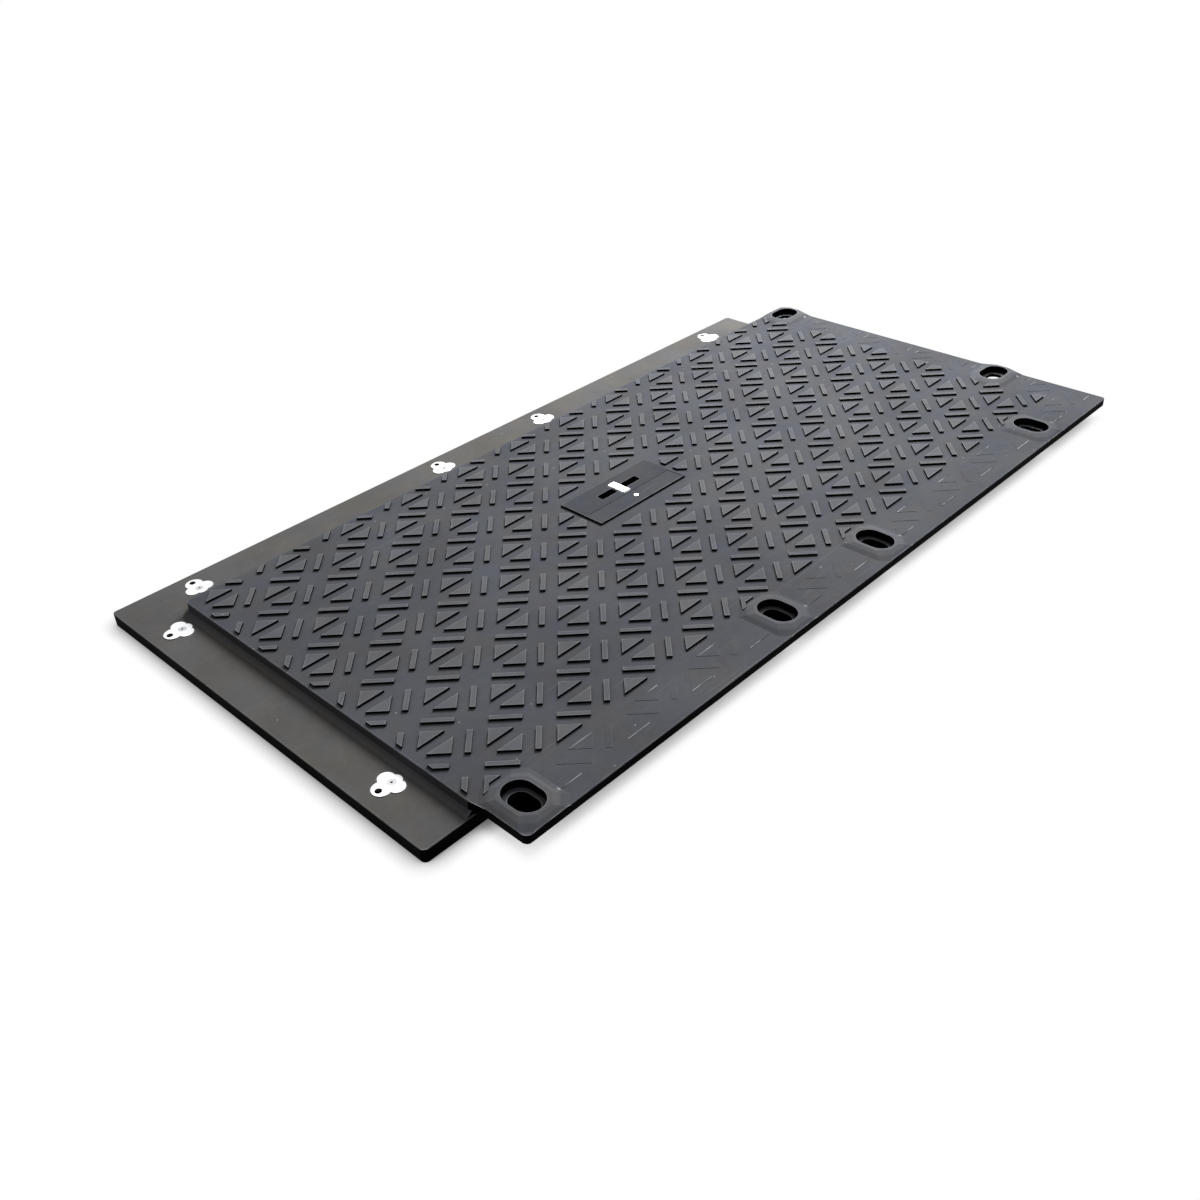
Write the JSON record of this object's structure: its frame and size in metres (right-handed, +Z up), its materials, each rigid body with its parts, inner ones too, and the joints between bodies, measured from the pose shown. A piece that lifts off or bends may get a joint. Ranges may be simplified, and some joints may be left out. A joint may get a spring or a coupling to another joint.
{
  "type": "ground protection mat",
  "caption": "Thick plastic ground mat with raised tread, overlapping flanges on all sides, stepped lock slots in raised collars, metal lock plates and a lifting bar.",
  "frame": {"origin": "on the floor, under the middle of the whole outline", "axes": "+X along the long side towards the lapping end, +Y from the lapping long side to the flange that carries the lock plates, +Z up"},
  "size_m": [4.21, 2.24, 0.123],
  "materials": {
    "mat_plastic": "matt moulded, slightly scuffed",
    "zinc_plate": "bright zinc plated",
    "screw_steel": "zinc plated"
  },
  "bodies": {
    "root": {"mat": "mat_plastic", "lock_plate_1": "zinc_plate", "lock_plate_2": "zinc_plate", "lock_plate_3": "zinc_plate", "lock_plate_4": "zinc_plate", "lock_plate_5": "zinc_plate", "lock_plate_6": "zinc_plate", "lock_screw_1": "screw_steel", "lock_screw_2": "screw_steel", "lock_screw_3": "screw_steel", "lock_screw_4": "screw_steel", "lock_screw_5": "screw_steel", "lock_screw_6": "screw_steel", "lift_bar": "zinc_plate", "panel_stud": "zinc_plate"}
  },
  "joints": []
}
